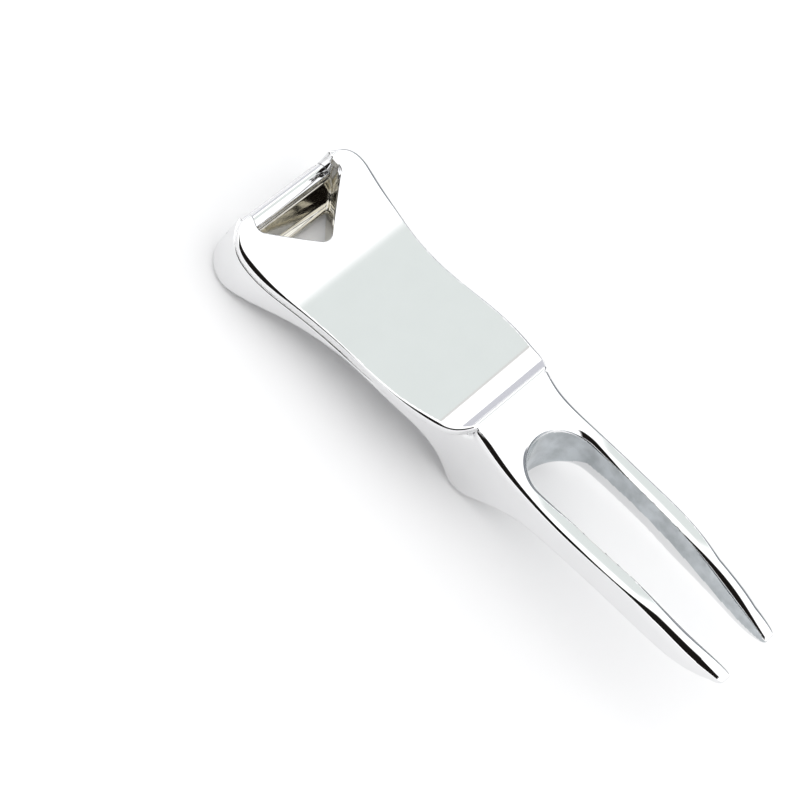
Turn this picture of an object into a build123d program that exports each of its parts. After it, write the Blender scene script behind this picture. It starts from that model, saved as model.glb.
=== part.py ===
from build123d import *
import math
import os

# Golf divot repair tool with a crown-cap opener at the other end.
# It lies face up: the back of the opener head and the belly under the neck both touch Z = 0.
# While drawing, X is the distance from the opener end towards the prong tips, Y is sideways
# and symmetric, and Z is up. Sizes are in millimetres.

# Overall sizes; widths of walls with draft are measured at draft_height
tool_length = 85.0
head_width = 23.8
head_flare = 2.9
head_waist = 4.3
shoulder_width = 20.0
neck_width = 14.7
fork_width = 15.4

# Stations along the tool, from the opener end
head_station = 5.6
trough_station = 14.5
grip_station = 22.5
shoulder_station = 31.5
ridge_station = 40.8
belly_station = 43.4
slot_station = 46.8
neck_dip_station = 50.8

# Heights of the upper surface
ear_height = 10.4
trough_height = 7.35
shoulder_height = 9.8
ridge_height = 13.6
slot_height = 12.1
prong_crest_height = 13.9
tip_height = 12.9

# Heights of the underside
arch_start_height = 3.0
arch_height = 6.1
arch_end_height = 5.0
arch_end_length = 5.0
belly_rise_length = 4.8
belly_rise_height = 3.9
prong_root_height = 7.5
prong_under_height = 8.7
tip_rise_length = 5.0
tip_rise_depth = 3.2
tip_depth = 1.0

# Corner of the head in plan, and the flats that the tool rests on
head_corner = 5.0
head_flat_start = 1.8
head_end_foot = 1.2
head_flat_end = 5.3
belly_flat_length = 2.2

# Thumb plate: a separate piece with pegs under it
plate_thickness = 1.3
rim_radius = 0.5
plate_ear_end = 1.4
ear_tip_land = 0.8
plate_corner_length = 3.0
plate_corner_inset = 0.8
wall_inset = 0.5
peg_diameter = 2.4
peg_length = 1.8
ear_peg_station = 9.0
ear_peg_inset = 2.4
rear_peg_station = 36.9

# Opener: the lips are the plate's edges round the notch, the bar is the fulcrum
notch_root = 9.7
notch_width = 15.6
notch_mouth_width = 14.8
notch_tip_length = 0.6
notch_corner_length = 2.2
notch_root_radius = 1.3
notch_root_cut = 0.6
notch_corner_radius = 0.7
lip_overhang = 0.8
bar_diameter = 2.2
bar_station = 1.6
bar_height = 4.3
bar_seat_depth = 0.7
end_wall_foot = 5.5
end_wall_foot_height = 1.6

# Fork slot and prongs; the shares are parts of the prong length, or of the slot's half width
slot_width = 10.2
slot_crest_share = 0.92
prong_root_share = 0.28
fork_share = 0.36
prong_under_share = 0.58
crest_share = 0.74
crest_taper = 2.0
tip_gap = 7.4
tip_width = 1.1

# Casting draft, in degrees
draft_height = 8.0
head_draft = 4.0
shank_draft = 1.5
slot_draft = 4.0
slot_root_draft = 14.0

# Drawing limits, outside the tool on every side
above = 20.0
below = -2.0
aside = 40.0
beyond = 3.0

# Stations and widths that follow from the sizes above
prong_length = tool_length - slot_station
fork_station = slot_station + fork_share * prong_length
crest_station = slot_station + crest_share * prong_length
crest_width = fork_width - crest_taper
prong_root_station = slot_station + prong_root_share * prong_length
prong_under_station = slot_station + prong_under_share * prong_length
slot_radius = slot_width / 2
trough_width = head_width - head_flare
grip_width = head_width - head_waist
belly_start = belly_station - belly_flat_length / 2
belly_end = belly_station + belly_flat_length / 2


def flare(height, draft):
    """How far a wall with this draft stands out at a height, from its place at draft_height."""
    return (draft_height - height) * math.tan(math.radians(draft))


def symmetric_wire(side_edges):
    """Closed wire from edges along the +Y side, their mirror image, and lines across the ends."""
    edges = [*side_edges, *[edge.mirror(Plane.XZ) for edge in side_edges]]
    for end in (side_edges[0] @ 0, side_edges[-1] @ 1):
        if end.Y > 0.001:
            edges.append(Line((end.X, end.Y), (end.X, -end.Y)))
    return Wire(edges)


def drafted(outline):
    """Solid with drafted walls, from an outline that depends on height."""
    low = symmetric_wire(outline(below)).moved(Location((0, 0, below)))
    high = symmetric_wire(outline(above)).moved(Location((0, 0, above)))
    return Solid.make_loft([low, high], ruled=True)


def extruded_profile(edges):
    """Solid as wide as the drawing, from a closed side view in X and Z."""
    return extrude(make_face(edges), aside, dir=(0, 1, 0), both=True)


def upright(points, tangents=None):
    """Spline in side view, from (X, Z) points."""
    turned = [(x, 0, z) for x, z in tangents] if tangents else None
    return Spline(*[(x, 0, z) for x, z in points], tangents=turned)


def upright_line(*points):
    """Straight lines in side view, from (X, Z) points."""
    return Polyline(*[(x, 0, z) for x, z in points])


def body_outline(height):
    """Side wall of the casting in plan at this height."""
    head = flare(height, head_draft)
    shank = flare(height, shank_draft)
    head_end = flare(head_end_foot, head_draft) - head
    head_side = (head_station, head_width / 2 + head)
    corner = Spline(
        (head_end, head_width / 2 - head_corner),
        head_side,
        tangents=[(0, 1), (1, 0)],
    )
    side = Spline(
        head_side,
        (trough_station, trough_width / 2 + head / 2),
        (grip_station, grip_width / 2 + shank),
        (shoulder_station, shoulder_width / 2 - wall_inset + shank),
        (ridge_station, neck_width / 2 + shank),
        (slot_station, neck_width / 2 + shank),
        (fork_station, fork_width / 2 + shank),
        (crest_station, crest_width / 2 + shank),
        (tool_length, tip_gap / 2 + tip_width + shank),
        tangents=[(1, 0), (1, -0.25)],
    )
    return [corner, side]


def plate_outline():
    """Rim of the thumb plate in plan: ears round the notch at one end, the ridge at the other."""
    rim_side = (head_station, head_width / 2)
    corner = Spline(
        (plate_ear_end, notch_mouth_width / 2 + ear_tip_land),
        rim_side,
        tangents=[(0, 1), (1, 0)],
    )
    side = Spline(
        rim_side,
        (trough_station, trough_width / 2),
        (grip_station, grip_width / 2),
        (shoulder_station, shoulder_width / 2),
        (ridge_station - plate_corner_length, shoulder_width / 2 - plate_corner_inset),
        (ridge_station, neck_width / 2),
        tangents=[(1, 0), (0.6, -1)],
    )
    return [corner, side]


def slot_outline(height):
    """Slot between the prongs at this height: a round root, open beyond the tips."""
    side_in = flare(height, slot_draft)
    apex = slot_station + flare(height, slot_root_draft) - flare(slot_height, slot_root_draft)
    radius = slot_radius - side_in
    centre = apex + radius
    half = radius * math.sqrt(0.5)
    root = ThreePointArc((apex, 0), (centre - half, half), (centre, radius))
    side = Spline(
        (centre, radius),
        (crest_station, slot_radius * slot_crest_share - side_in),
        (tool_length, tip_gap / 2 - side_in),
        (tool_length + beyond, tip_gap / 2 - side_in),
        tangents=[(1, 0), (1, 0.1)],
    )
    return [root, side]


def notch_face(spread):
    """Notch in plan: open between the ears, widening behind their tips, then running to a point."""
    mouth = notch_mouth_width / 2 + spread
    tip = (plate_ear_end + notch_tip_length, mouth)
    corner = (plate_ear_end + notch_corner_length, notch_width / 2 + spread)
    root = (notch_root + notch_root_cut + spread, 0)
    half = Polyline((-beyond, mouth), tip, corner, root)
    mouth_line = Line((-beyond, mouth), (-beyond, -mouth))
    face = make_face([*half.edges(), *half.mirror(Plane.XZ).edges(), mouth_line])
    face = fillet(face.vertices().sort_by(Axis.X)[-1], notch_root_radius)
    corners = [v for v in face.vertices() if abs(v.X - corner[0]) < 0.01]
    return fillet(corners, notch_corner_radius)


trough = upright(
    [
        (0, ear_height),
        (trough_station, trough_height),
        (shoulder_station, shoulder_height),
        (ridge_station, ridge_height),
    ],
    [(1, -0.5), (1, 1.4)],
)

neck_top = upright(
    [
        (ridge_station, ridge_height),
        (neck_dip_station, slot_height),
        (crest_station, prong_crest_height),
        (tool_length, tip_height),
    ],
    [(1, -0.35), (1, -0.18)],
)

prong_underside = upright(
    [
        (belly_end, 0),
        (belly_end + belly_rise_length, belly_rise_height),
        (prong_root_station, prong_root_height),
        (prong_under_station, prong_under_height),
        (tool_length - tip_rise_length, tip_height - tip_rise_depth),
        (tool_length, tip_height - tip_depth),
    ],
    [(1, 0.3), (1, 0.8)],
)

arch = upright(
    [
        (head_flat_end, 0),
        (trough_station, arch_start_height),
        ((grip_station + shoulder_station) / 2, arch_height),
        (ridge_station - arch_end_length, arch_end_height),
        (belly_start, 0),
    ],
    [(1, 0.45), (0.8, -1)],
)


def trough_at(station):
    """Height of the plate's upper surface at this station."""
    crossing = trough.intersect(Line((station, 0, below), (station, 0, above)))
    return crossing.vertices()[0].Z


def build_opener_bar():
    """Round fulcrum bar, its ends let into the two ear lobes."""
    length = notch_mouth_width + 2 * lip_overhang + 2 * bar_seat_depth
    bar = Cylinder(bar_diameter / 2, length, rotation=(90, 0, 0))
    return bar.moved(Location((bar_station, 0, bar_height)))


def build_pegs():
    """Pegs from within the plate down into the casting: one over the belly, one in each lobe."""
    lobe_side = head_width / 2 - ear_peg_inset
    pegs = []
    for x, y in (
        (rear_peg_station, 0),
        (ear_peg_station, lobe_side),
        (ear_peg_station, -lobe_side),
    ):
        length = peg_length + plate_thickness
        centre = trough_at(x) - plate_thickness / 2 - length / 2
        pegs.append(Cylinder(peg_diameter / 2, length).moved(Location((x, y, centre))))
    return pegs


def build_thumb_plate():
    """Plate of even depth with a dished top, a rounded rim and the opener's notch."""
    seat = trough.moved(Location((0, 0, -plate_thickness)))
    slab = extruded_profile([trough, seat, Line(trough @ 0, seat @ 0), Line(trough @ 1, seat @ 1)])
    rim = make_face(symmetric_wire(plate_outline()))
    plate = slab & extrude(rim, above)
    sides = [e for e in plate.edges() if abs((e @ 0.5).Y) > neck_width / 2]
    upper = [e for e in sides if (e @ 0.5).Z > trough_at((e @ 0.5).X) - 0.01]
    plate = fillet(upper, rim_radius)
    return plate - extrude(notch_face(0), above)


def build_fork_body():
    """Casting: ear lobes, end wall, arch under the plate, belly, neck and the two prongs."""
    seat = trough.moved(Location((0, 0, -plate_thickness)))
    profile = [
        seat,
        Line(seat @ 1, neck_top @ 0),
        neck_top,
        Line(neck_top @ 1, prong_underside @ 1),
        prong_underside,
        upright_line((belly_end, 0), (belly_start, 0)),
        arch,
        upright_line((head_flat_end, 0), (head_flat_start, 0), (0, head_end_foot), (0, (seat @ 0).Z)),
    ]
    body = extruded_profile(profile) & drafted(body_outline)
    body -= drafted(slot_outline)
    end_wall = extruded_profile(
        [
            upright_line(
                (-beyond, below),
                (-beyond, bar_height),
                (bar_station + bar_diameter / 2, bar_height),
                (end_wall_foot, end_wall_foot_height),
                (end_wall_foot, below),
                (-beyond, below),
            )
        ]
    )
    window = extrude(notch_face(lip_overhang).moved(Location((0, 0, below))), above - below)
    return body - (window - end_wall)


opener_bar = build_opener_bar()
thumb_plate = build_thumb_plate()
fork_body = build_fork_body() - opener_bar
for peg in build_pegs():
    thumb_plate += peg
    fork_body -= peg

middle = Location((-tool_length / 2, 0, 0))
os.makedirs("parts", exist_ok=True)
for name, shape in (
    ("fork_body", fork_body),
    ("thumb_plate", thumb_plate),
    ("opener_bar", opener_bar),
):
    export_step(shape.moved(middle), f"parts/{name}.step")
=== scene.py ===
import math

import bpy
import numpy as np
from mathutils import Matrix, Vector


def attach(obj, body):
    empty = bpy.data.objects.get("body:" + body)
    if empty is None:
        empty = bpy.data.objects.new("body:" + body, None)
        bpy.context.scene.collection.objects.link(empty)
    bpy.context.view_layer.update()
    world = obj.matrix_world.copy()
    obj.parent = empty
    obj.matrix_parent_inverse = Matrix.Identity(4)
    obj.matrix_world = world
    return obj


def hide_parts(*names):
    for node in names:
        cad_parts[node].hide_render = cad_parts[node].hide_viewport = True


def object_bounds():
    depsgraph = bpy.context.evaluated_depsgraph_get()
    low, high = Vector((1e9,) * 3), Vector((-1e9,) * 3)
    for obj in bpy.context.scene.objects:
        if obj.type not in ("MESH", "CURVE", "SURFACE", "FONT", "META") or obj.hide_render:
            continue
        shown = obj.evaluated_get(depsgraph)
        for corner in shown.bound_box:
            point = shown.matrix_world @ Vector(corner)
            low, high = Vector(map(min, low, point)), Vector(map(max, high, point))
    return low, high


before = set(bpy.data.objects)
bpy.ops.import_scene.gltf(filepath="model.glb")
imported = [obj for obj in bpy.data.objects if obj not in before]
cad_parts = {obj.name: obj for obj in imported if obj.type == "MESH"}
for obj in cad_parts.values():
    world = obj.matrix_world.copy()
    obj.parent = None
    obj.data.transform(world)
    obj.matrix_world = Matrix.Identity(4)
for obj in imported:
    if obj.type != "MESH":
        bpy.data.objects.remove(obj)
MM = 0.001
cad_low, cad_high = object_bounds()

# The shapes below are solids given by distance functions, in millimetres. Their X runs from
# the opener end towards the prong tips, Y is sideways and Z is up.
tool_length = (cad_high.x - cad_low.x) / MM
half_way = -cad_low.x / MM

# Stations
head_x = 5.6
ridge_x = 40.8
slot_x = 46.8
slot_end_x = 52.0
slot_top_z = 12.1

# Walls with draft: half widths are measured at draft_z
draft_z = 8.0
head_lean = math.tan(math.radians(4.0))
shank_lean = math.tan(math.radians(1.5))
slot_lean = math.tan(math.radians(4.0))
slot_root_lean = math.tan(math.radians(14.0))
head_corner = 5.0

# Thumb plate and the opener's notch
plate_depth = 1.3
plate_end_x = 1.4
plate_corner = 3.7
mouth_half = 7.4
mouth_step_x = 2.0
mouth_spread = 0.25
notch_root_x = 10.3
notch_slope = (8.4, 7.0)
lip = 0.8
peg_radius = 1.2
peg_height = 3.2
pegs = ((36.9, 0.0, 7.1), (9.0, 9.5, 3.93), (9.0, -9.5, 3.93))

# Fulcrum bar and the wall under it
bar_x, bar_z, bar_radius, bar_half = 1.6, 4.3, 1.1, 8.9
wall_top = 4.3
# Top of the cast skin and painted shade on the walls behind the bar
window_cast_and_shade_top = 4.6
wall_foot_x, wall_foot_z = 4.5, 1.7
ledge_x, ledge_z = 5.6, 1.5

# Radii of the rounded edges
foot_round = 1.2
under_round = 1.0
prong_crown = 0.06
seam_round = 0.22
seam_sink = 0.012
seam_lap = 1.4
ridge_round = 0.3
notch_round = 0.28
notch_point_round = 1.3
notch_mouth_round = 0.7
bar_end_round = 0.25
plate_rear_round = 0.1
tip_round = 1.0
wall_round = 0.4
ledge_round = 0.5
window_round = 0.3

# Limits on the rounded edges of a thin prong, and the lengths over which shapes blend
room_share = 0.45
least_depth = 0.6
side_room = 1.3
tip_room = 1.2
neck_room = 6.0
head_blend_end, head_blend = 16.0, 8.0
head_draft_foot = 1.2
crown_from, crown_blend = 49.0, 6.0
seam_blend = 0.8

# Gaps between pieces, too small to see
bar_gap = 0.03
peg_gap = 0.05


def spline(points, first_slope, last_slope):
    """Smooth curve through (position, value) points, straight beyond its ends; gives value and slope."""
    x, y = np.array(points, float).T
    count = len(x)
    gap = np.diff(x)
    rise = np.diff(y) / gap
    matrix = np.eye(count)
    right = np.zeros(count)
    right[0], right[-1] = first_slope, last_slope
    for i in range(1, count - 1):
        matrix[i, i - 1 : i + 2] = gap[i], 2 * (gap[i - 1] + gap[i]), gap[i - 1]
        right[i] = 3 * (gap[i] * rise[i - 1] + gap[i - 1] * rise[i])
    slope = np.linalg.solve(matrix, right)

    def value(at):
        inside = np.clip(at, x[0], x[-1])
        i = np.clip(np.searchsorted(x, inside) - 1, 0, count - 2)
        g = gap[i]
        t = (inside - x[i]) / g
        a, b, c, d = y[i], y[i + 1], slope[i] * g, slope[i + 1] * g
        steep = (6 * t * t - 6 * t) * (a - b) + (3 * t * t - 4 * t + 1) * c + (3 * t * t - 2 * t) * d
        steep = steep / g
        level = (2 * t**3 - 3 * t * t + 1) * a + (t**3 - 2 * t * t + t) * c
        level = level + (3 * t * t - 2 * t**3) * b + (t**3 - t * t) * d
        return level + (at - inside) * steep, steep

    return value


trough = spline([(0, 10.4), (11.5, 7.35), (31.5, 9.75), (36.2, 10.95), (ridge_x, 13.6)], -0.5, 1.25)
neck_top = spline([(ridge_x, 13.6), (50.8, 12.1), (75.1, 13.9), (tool_length, 12.9)], -0.35, -0.18)
arch = spline([(5.3, 0), (14.5, 3.0), (27, 6.1), (35.8, 5.0), (42.3, 0)], 0.45, -1.15)
prong_under = spline(
    [(44.5, 0), (49.3, 3.9), (57.5, 7.5), (69.1, 8.7), (80, 9.7), (tool_length, 11.9)], 0.45, 0.7
)
body_side = spline(
    [(head_x, 11.9), (14.5, 10.45), (22.5, 9.75), (31.5, 9.5), (ridge_x, 7.35),
     (slot_x, 7.35), (60.5, 7.7), (75.1, 7.05), (80, 6.65), (tool_length, 5.55)],
    0,
    -0.25,
)
plate_side = spline(
    [(head_x, 11.9), (14.5, 10.45), (22.5, 9.75), (31.5, 10.0), (37.8, 9.2), (ridge_x, 7.35)], 0, -1.3
)
rim_round = spline([(2, 0.55), (5, 0.95), (9, 1.05), (12.5, 0.55), (16, 0.33), (32, 0.33), (38, 0.6)], 0, 0)
side_round = spline(
    [(ridge_x, 0.9), (44, 1.2), (48, 1.1), (54, 0.6), (60, 0.5), (70, 0.6),
     (78, 2.0), (83, 0.9), (tool_length, 0.6)],
    0,
    0,
)
slot_round = spline(
    [(46, 1.0), (51, 1.0), (56, 0.35), (70, 0.35), (78, 1.1), (83, 0.5), (tool_length, 0.4)], 0, 0
)
slot_side = spline([(slot_end_x, 5.0), (75.1, 4.05), (80, 3.6), (tool_length, 3.15)], 0, -0.08)


def both(a, b, radius):
    """Distance to what two solids share, with a rounded edge."""
    u, v = np.maximum(a + radius, 0), np.maximum(b + radius, 0)
    return np.minimum(np.maximum(a, b), -radius) + np.sqrt(u * u + v * v)


def either(a, b, radius):
    """Distance to two solids joined, with a filleted corner."""
    return -both(-a, -b, radius)


def above(z, curve, x):
    """Distance over a curved floor or ceiling drawn in side view."""
    level, steep = curve(x)
    return (z - level) / np.sqrt(1 + steep * steep)


def inside_wall(x, y, half, steep, corner_long, corner_wide):
    """Distance to a plan outline: a half width along X, and a round corner at the opener end."""
    u = np.maximum(head_x - x, 0) / corner_long
    v = np.maximum(np.abs(y) - (half - corner_wide), 0) / corner_wide
    size = np.sqrt(u * u + v * v) + 1e-9
    pace = np.sqrt((u / corner_long) ** 2 + (v / corner_wide) ** 2) + 1e-9
    round_end = np.where(size > 1e-6, (size - 1) * size / pace, -corner_wide)
    return round_end / np.sqrt(1 + steep * steep)


def notch(x, y, spread):
    """Distance to the notch in plan: its mouth between the ears, wider behind, and its V."""
    mouth = np.abs(y) - mouth_half - spread - mouth_spread * np.maximum(x - mouth_step_x, 0)
    a, b = np.array(notch_slope) / math.hypot(*notch_slope)
    ahead = (x - notch_root_x - spread) * a
    point = both(ahead + y * b, ahead - y * b, notch_point_round)
    return both(mouth, point, notch_mouth_round)


def bar(x, y, z, radius, half):
    """Distance to the round bar across the opener."""
    return both(np.hypot(x - bar_x, z - bar_z) - radius, np.abs(y) - half, bar_end_round)


def peg_holes(x, y, z, grow):
    """Distance to the pegs under the thumb plate."""
    found = math.inf
    for peg_x, peg_y, peg_z in pegs:
        foot = peg_z - grow
        around = np.hypot(x - peg_x, y - peg_y) - peg_radius - grow
        found = np.minimum(found, np.maximum(around, np.maximum(foot - z, z - foot - peg_height)))
    return found


def slot_gap(x, y, z):
    """Distance to the slot between the prongs, and its half width."""
    radius = slot_side(x)[0] - (draft_z - z) * slot_lean
    root = slot_x + (slot_top_z - z) * slot_root_lean
    return np.hypot(np.minimum(x - root - radius, 0), y) - radius, radius


def fork_body(x, y, z):
    """The casting: ear lobes, end wall, arch, belly, neck and the two prongs."""
    wide, steep = body_side(x)
    at_head = np.clip((head_blend_end - x) / head_blend, 0, 1)
    lean = shank_lean + (head_lean - shank_lean) * at_head * at_head * (3 - 2 * at_head)
    half = wide + (draft_z - z) * lean
    long_corner = head_x + (head_draft_foot - z) * head_lean
    outer = inside_wall(x, y, half, steep, long_corner, head_corner)

    seat = above(z, trough, x) + plate_depth
    slot, radius = slot_gap(x, y, z)
    crown = prong_crown * np.clip((x - crown_from) / crown_blend, 0, 1)
    neck = above(z, neck_top, x) + crown * (np.abs(y) - (half + radius) / 2) ** 2
    lap = np.clip((x - ridge_x) / seam_lap, 0, 1)
    neck = both(neck + seam_sink * (1 - lap), ridge_x + ridge_round - x, ridge_round)
    top = np.where(x < ridge_x + seam_lap, np.minimum(seat, neck), neck)

    foot = both(-z, -above(z, arch, x), foot_round)
    under = both(foot, -above(z, prong_under, x), foot_round)

    width = np.where(x > slot_end_x, half - radius, neck_room)
    depth = neck_top(x)[0] - np.maximum(prong_under(x)[0], 0)
    room = room_share * np.minimum(np.abs(width), np.maximum(depth, least_depth))
    top_side = np.minimum(side_round(np.clip(x, ridge_x, tool_length))[0], side_room * room)
    top_side = seam_round + (top_side - seam_round) * np.clip((x - ridge_x) / seam_blend + 1, 0, 1)
    solid = both(outer, top, top_side)
    solid = both(solid, under, np.minimum(under_round, room))
    solid = both(solid, x - tool_length, np.minimum(tip_round, tip_room * room))
    solid = both(solid, -slot, np.minimum(slot_round(np.clip(x, 46, tool_length))[0], room))

    slant_a = wall_foot_x - (bar_x + bar_radius)
    slant_b = wall_top - wall_foot_z
    slant = (x - wall_foot_x) * slant_b + (z - wall_foot_z) * slant_a
    end_wall = both(z - wall_top, slant / math.hypot(slant_a, slant_b), wall_round)
    ledge = both(x - ledge_x, z - ledge_z, ledge_round)
    end_wall = either(end_wall, ledge, window_round)
    window = both(notch(x, y, lip), -end_wall, window_round)
    solid = both(solid, -window, window_round)
    solid = np.maximum(solid, -bar(x, y, z, bar_radius + bar_gap, bar_half + bar_gap))
    return np.maximum(solid, -peg_holes(x, y, z, peg_gap))


def thumb_plate(x, y, z):
    """The plate: a dished sheet with a rounded rim, the opener's notch and pegs below."""
    wide, steep = plate_side(x)
    outer = inside_wall(x, y, wide, steep, head_x - plate_end_x, plate_corner)
    dish = above(z, trough, x)
    lap = np.clip((x - ridge_x) / seam_lap, 0, 1)
    top = both(dish, above(z, neck_top, x) + seam_sink * lap, ridge_round)
    plate = both(outer, top, rim_round(np.clip(x, 2, 38))[0])
    plate = both(plate, -dish - plate_depth, seam_round)
    plate = both(plate, x - ridge_x - seam_lap, plate_rear_round)
    plate = both(plate, -notch(x, y, 0), notch_round)
    return np.minimum(plate, peg_holes(x, y, z, 0))


def opener_bar(x, y, z):
    """The round bar between the ear lobes."""
    return bar(x, y, z, bar_radius, bar_half)


def skin(name, solid, low, high, step):
    """Mesh of a solid's surface, its points laid on the surface and its shading taken from it."""
    lines = [np.arange(a - 2 * step, b + 3 * step, step) for a, b in zip(low, high)]
    start = np.array([line[0] for line in lines])
    value = solid(*np.meshgrid(*lines, indexing="ij", sparse=True))
    value = np.broadcast_to(value, [len(line) for line in lines])
    filled = (value < 0).astype(np.int8)
    places, rings = [], []
    for axis in range(3):
        change = np.diff(filled, axis=axis)
        edge = np.argwhere(change)
        leaving = change[tuple(edge.T)] < 0
        ahead = edge.copy()
        ahead[:, axis] += 1
        a, b = value[tuple(edge.T)], value[tuple(ahead.T)]
        crossing = edge.astype(float)
        crossing[:, axis] += a / (a - b)
        ring = []
        for back_u, back_v in ((0, 0), (1, 0), (1, 1), (0, 1)):
            cell = edge.copy()
            cell[:, (axis + 1) % 3] -= back_u
            cell[:, (axis + 2) % 3] -= back_v
            ring.append(np.ravel_multi_index(cell.T, value.shape))
        ring = np.stack(ring, 1)
        ring[~leaving] = ring[~leaving][:, ::-1]
        places.append(np.repeat(crossing, 4, axis=0))
        rings.append(ring)
    rings = np.concatenate(rings)
    corners = np.unique(rings, return_inverse=True)[1]
    corners = corners.reshape(rings.shape)
    places = np.concatenate(places)
    near = np.bincount(corners.ravel())
    points = np.stack([np.bincount(corners.ravel(), places[:, i]) / near for i in range(3)], 1)
    points = start + points * step
    points, facing = settle(solid, points)
    mesh = bpy.data.meshes.new(name)
    moved = (points - np.array([half_way, 0, 0])) * MM
    mesh.from_pydata(moved.tolist(), [], corners.tolist())
    mesh.shade_smooth()
    mesh.normals_split_custom_set_from_vertices(facing.tolist())
    obj = bpy.data.objects.new(name, mesh)
    bpy.context.collection.objects.link(obj)
    return obj


def settle(solid, points):
    """Points moved onto the surface, and the surface's unit normals there."""
    tiny = 0.004
    furthest = 0.15
    moves = 3
    for turn in range(moves + 1):
        slopes = []
        for axis in range(3):
            shift = np.zeros(3)
            shift[axis] = tiny
            slopes.append((solid(*(points + shift).T) - solid(*(points - shift).T)) / (2 * tiny))
        slopes = np.stack(slopes, 1)
        steep = np.linalg.norm(slopes, axis=1)[:, None] + 1e-6
        if turn < moves:
            push = solid(*points.T)[:, None] * slopes / steep**2
            points = points - np.clip(push, -furthest, furthest)
    return points, slopes / steep


# Chrome: noise scales are per metre, bump distances in metres
line_stretch = (0.12, 1.0, 1.0)
line_scale, cloud_scale, wave_scale = 9000, 260, 130
cast_scale = 500
line_strength, line_depth = 0.08, 0.000008
wave_strength, wave_depth, cast_depth = 0.25, 0.00002, 0.0005
tone_spread, cast_tone_spread = 0.006, 0.5
patch_low, patch_high = 0.35, 0.65


def chrome(name, tint, roughness, cast=0.0):
    """Polished chrome plate: faint waves and fine polishing lines, over a cast skin where not buffed."""
    material = bpy.data.materials.new(name)
    material.use_nodes = True
    nodes, links = material.node_tree.nodes, material.node_tree.links
    shader = nodes["Principled BSDF"]
    shader.inputs["Metallic"].default_value = 1.0
    place = nodes.new("ShaderNodeTexCoord")
    lines = nodes.new("ShaderNodeMapping")
    lines.inputs["Scale"].default_value = line_stretch
    links.new(place.outputs["Object"], lines.inputs["Vector"])

    def noise(vector, scale, detail):
        node = nodes.new("ShaderNodeTexNoise")
        node.inputs["Scale"].default_value = scale
        node.inputs["Detail"].default_value = detail
        links.new(vector, node.inputs["Vector"])
        return node.outputs["Fac"]

    def spread(value, low, high):
        node = nodes.new("ShaderNodeMapRange")
        node.inputs["To Min"].default_value = low
        node.inputs["To Max"].default_value = high
        links.new(value, node.inputs["Value"])
        return node.outputs["Result"]

    fine = noise(lines.outputs["Vector"], line_scale, 4)
    cloudy = noise(place.outputs["Object"], cloud_scale, 3)
    waves = noise(place.outputs["Object"], wave_scale + cast_scale * cast, 1 + 3 * cast)
    mix = nodes.new("ShaderNodeMath")
    mix.operation = "ADD"
    links.new(spread(fine, 0.0, roughness), mix.inputs[0])
    links.new(spread(cloudy, 0.0, roughness), mix.inputs[1])
    links.new(mix.outputs[0], shader.inputs["Roughness"])

    shade = nodes.new("ShaderNodeMix")
    shade.data_type = "RGBA"
    tone = tone_spread + cast_tone_spread * cast
    shade.inputs[6].default_value = [value * (1 - tone) for value in tint[:3]] + [1]
    shade.inputs[7].default_value = [min(1, value * (1 + tone)) for value in tint[:3]] + [1]
    patches = noise(place.outputs["Object"], cloud_scale + cast_scale * cast, 3)
    sharp = spread(patches, 0, 1)
    sharp.node.inputs["From Min"].default_value = patch_low
    sharp.node.inputs["From Max"].default_value = patch_high
    links.new(sharp, shade.inputs[0])
    links.new(shade.outputs[2], shader.inputs["Base Color"])

    wave_bump = nodes.new("ShaderNodeBump")
    wave_bump.inputs["Strength"].default_value = wave_strength
    wave_bump.inputs["Distance"].default_value = wave_depth + cast_depth * cast
    links.new(waves, wave_bump.inputs["Height"])
    line_bump = nodes.new("ShaderNodeBump")
    line_bump.inputs["Strength"].default_value = line_strength
    line_bump.inputs["Distance"].default_value = line_depth
    links.new(fine, line_bump.inputs["Height"])
    links.new(wave_bump.outputs["Normal"], line_bump.inputs["Normal"])
    links.new(line_bump.outputs["Normal"], shader.inputs["Normal"])
    return material


def add_piece(node, solid, low, high, step, material):
    """One piece of the tool, standing in for the plain solid of the same name."""
    obj = skin(node, solid, low, high, step)
    obj.data.materials.append(material)
    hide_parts(node)
    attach(obj, "root")
    return obj


# Each piece is meshed within a box, on a grid of this step
coarse, fine = 0.16, 0.12
bright, polish = (0.82, 0.822, 0.828, 1), 0.05
body = add_piece(
    "fork_body", fork_body, (0, -13, 0), (tool_length, 13, 14), coarse, chrome("body_chrome", bright, polish)
)
add_piece(
    "thumb_plate", thumb_plate, (1, -12, 3), (43, 12, 14), coarse, chrome("plate_chrome", bright, polish)
)
add_piece(
    "opener_bar", opener_bar, (0.5, -9, 3.2), (2.7, 9, 5.4), fine, chrome("bar_chrome", bright, polish)
)

# Painted shade: the slot wall's darker grey tint stands for the shadowed floor it mirrors; its rougher,
# bumpier cast skin is real
body.data.materials.append(chrome("slot_wall_painted_shade_chrome", (0.50, 0.53, 0.55, 1), 0.14, 0.3))
# Painted shade: the window wall's darker warm tint stands for the dim hollow under the plate it mirrors; its
# rougher cast skin is real
body.data.materials.append(chrome("window_wall_painted_shade_chrome", (0.66, 0.64, 0.58, 1), 0.07, 0.15))

# The slot's upper wall and the walls behind the bar are cast, with less polish; their darker tints are
# painted shade, standing for the shadowed floor and dim hollows these walls mirror
wall_margin = 0.3
steepest = 0.35
middles = np.array([face.center for face in body.data.polygons]) / MM + np.array([half_way, 0, 0])
facing_up = np.array([face.normal.z for face in body.data.polygons])
face_x, face_y, face_z = middles.T
low_edge = np.maximum(prong_under(face_x)[0], 0)
wall_share = (face_z - low_edge) / (neck_top(face_x)[0] - low_edge)
cast_and_shade_share = 0.33 + 0.008 * np.sin(1.7 * face_x)
cast_and_shade_start, cast_and_shade_blend = 50, 3
cast_and_shade_from = cast_and_shade_share * np.clip((face_x - cast_and_shade_start) / cast_and_shade_blend, 0, 1)
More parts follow.
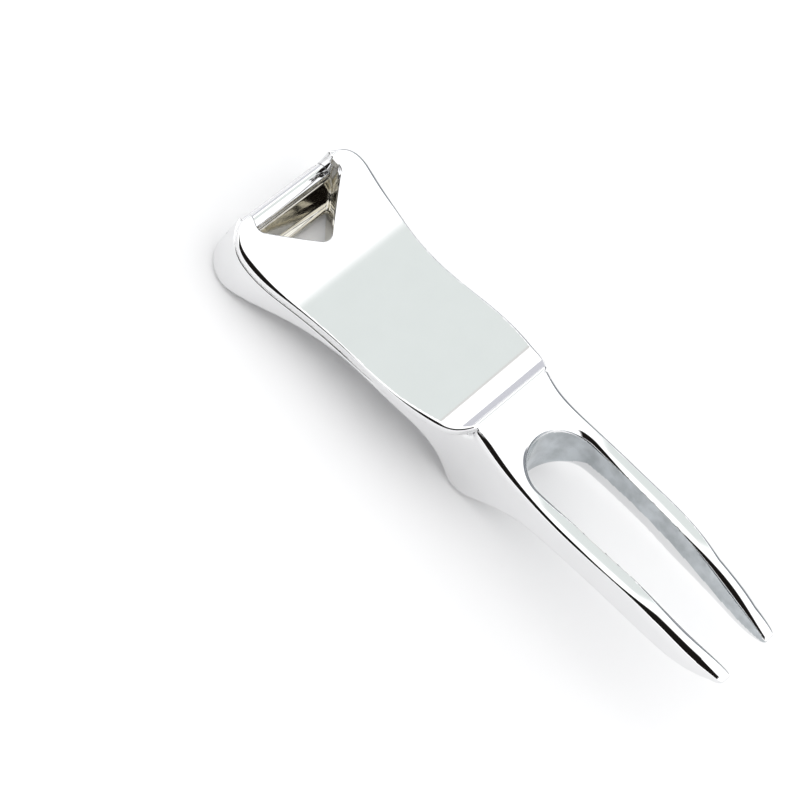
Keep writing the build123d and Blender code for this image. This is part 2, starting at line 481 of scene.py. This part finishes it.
# Slot faces that get the cast skin and the painted shade
in_slot_shade = slot_gap(face_x, face_y, face_z)[0] < wall_margin
in_slot_shade &= (np.abs(facing_up) < steepest) & (wall_share > cast_and_shade_from)
in_window_shade = (notch(face_x, face_y, lip) < wall_margin) & (face_x > bar_x) & (face_z < window_cast_and_shade_top)
body.data.polygons.foreach_set("material_index", (in_slot_shade + 2 * in_window_shade).astype(np.int32))

# A pale paper floor, in metres
reach = 1.0
floor_mesh = bpy.data.meshes.new("floor")
floor_mesh.from_pydata(
    [(-reach, -reach, 0), (reach, -reach, 0), (reach, reach, 0), (-reach, reach, 0)], [], [(0, 1, 2, 3)]
)
floor = bpy.data.objects.new("floor", floor_mesh)
bpy.context.collection.objects.link(floor)
paper = bpy.data.materials.new("paper")
paper.use_nodes = True
paper.node_tree.nodes["Principled BSDF"].inputs["Base Color"].default_value = (0.90, 0.90, 0.905, 1)
paper.node_tree.nodes["Principled BSDF"].inputs["Roughness"].default_value = 1.0
floor_mesh.materials.append(paper)

# A low lilac-grey card beyond the opener end, in mm, which only shows mirrored in the chrome
card_away, card_half, card_top = 75.0, 40.0, 19.5
card_way = Vector((-0.853, 0.522, 0))
card_side = Vector((0.522, 0.853, 0)) * card_half
card_foot = Vector((ridge_x - half_way, 0, 0)) + card_way * card_away
card_points = [card_foot - card_side, card_foot + card_side]
card_points += [point + Vector((0, 0, card_top)) for point in reversed(card_points)]
card_mesh = bpy.data.meshes.new("low_card")
card_mesh.from_pydata([point * MM for point in card_points], [], [(0, 1, 2, 3)])
card = bpy.data.objects.new("low_card", card_mesh)
bpy.context.collection.objects.link(card)
card.visible_camera = card.visible_shadow = card.visible_diffuse = False
card_paint = bpy.data.materials.new("lilac_card")
card_paint.use_nodes = True
card_shader = card_paint.node_tree.nodes["Principled BSDF"]
card_shader.inputs["Base Color"].default_value = (0, 0, 0, 1)
card_shader.inputs["Emission Color"].default_value = (0.70, 0.705, 0.76, 1)
card_shader.inputs["Emission Strength"].default_value = 1.0
card_mesh.materials.append(card_paint)

# The studio is a bright sky with soft-edged cards, which the chrome mirrors
sky_white = 1.52
world = bpy.data.worlds.new("studio")
world.use_nodes = True
sky_nodes, sky_links = world.node_tree.nodes, world.node_tree.links
direction = sky_nodes.new("ShaderNodeTexCoord").outputs["Generated"]
sky = sky_nodes.new("ShaderNodeRGB")
sky.outputs[0].default_value = (sky_white, sky_white, sky_white, 1)
sky_colour = sky.outputs[0]


def panel(under, colour, limits):
    """A coloured card in the sky, over the directions where every limit along an axis holds."""
    cover = None
    for axis, start, end, soft in limits:
        along = sky_nodes.new("ShaderNodeVectorMath")
        along.operation = "DOT_PRODUCT"
        along.inputs[1].default_value = axis
        sky_links.new(direction, along.inputs[0])
        for edge, at_low, at_high in ((start, 0, 1), (end, 1, 0)):
            ramp = sky_nodes.new("ShaderNodeMapRange")
            ramp.interpolation_type = "SMOOTHSTEP"
            ramp.inputs["From Min"].default_value = edge - soft
            ramp.inputs["From Max"].default_value = edge + soft
            ramp.inputs["To Min"].default_value = at_low
            ramp.inputs["To Max"].default_value = at_high
            sky_links.new(along.outputs["Value"], ramp.inputs["Value"])
            part = sky_nodes.new("ShaderNodeMath")
            part.operation = "MULTIPLY"
            part.inputs[0].default_value = 1
            if cover:
                sky_links.new(cover, part.inputs[0])
            sky_links.new(ramp.outputs["Result"], part.inputs[1])
            cover = part.outputs[0]
    mix = sky_nodes.new("ShaderNodeMix")
    mix.data_type = "RGBA"
    mix.inputs[7].default_value = (*colour, 1)
    sky_links.new(cover, mix.inputs[0])
    sky_links.new(under, mix.inputs[6])
    return mix.outputs[2]


up, side, ahead = (0, 0, 1), (0, 1, 0), (1, 0, 0)
slanted = (-0.958, 0.287, 0)
grey_green = (0.90, 0.95, 0.93)
taupe = (0.81, 0.80, 0.78)
black = (0.012, 0.010, 0.009)
slate = (0.26, 0.28, 0.31)
for card_colour, limits in (
    (grey_green, [(slanted, 0.26, 2, 0.035), (side, 0.46, 2, 0.035), (up, 0.655, 2, 0.008)]),
    (taupe, [(slanted, 0.3, 2, 0.1), (side, 0.46, 2, 0.035), (up, 0.642, 0.668, 0.01)]),
    (black, [(side, -2, -0.35, 0.05), (up, 0.08, 0.88, 0.03), (ahead, -0.4, 0.5, 0.08)]),
    (slate, [(side, 0.8, 2, 0.04), (up, -0.1, 0.5, 0.03)]),
):
    sky_colour = panel(sky_colour, card_colour, limits)
sky_links.new(sky_colour, sky_nodes["Background"].inputs["Color"])
bpy.context.scene.world = world

# The photo's camera, placed by its target, distance and angles
target = Vector((-10.84, -8.97, 8.0)) * MM
distance = 462.8 * MM
azimuth, elevation, roll = math.radians(-78.97), math.radians(57.98), math.radians(37.92)
away = Vector(
    (
        math.cos(azimuth) * math.cos(elevation),
        math.sin(azimuth) * math.cos(elevation),
        math.sin(elevation),
    )
)
camera_data = bpy.data.cameras.new("camera")
camera_data.sensor_width = 36
camera_data.lens = 165.6
camera_data.clip_start = 0.01
camera = bpy.data.objects.new("camera", camera_data)
turn = (-away).to_track_quat("-Z", "Y").to_matrix() @ Matrix.Rotation(roll, 3, "Z")
camera.matrix_world = Matrix.Translation(target + away * distance) @ turn.to_4x4()
bpy.context.collection.objects.link(camera)
bpy.context.scene.camera = camera
bpy.context.scene.view_settings.view_transform = "Standard"
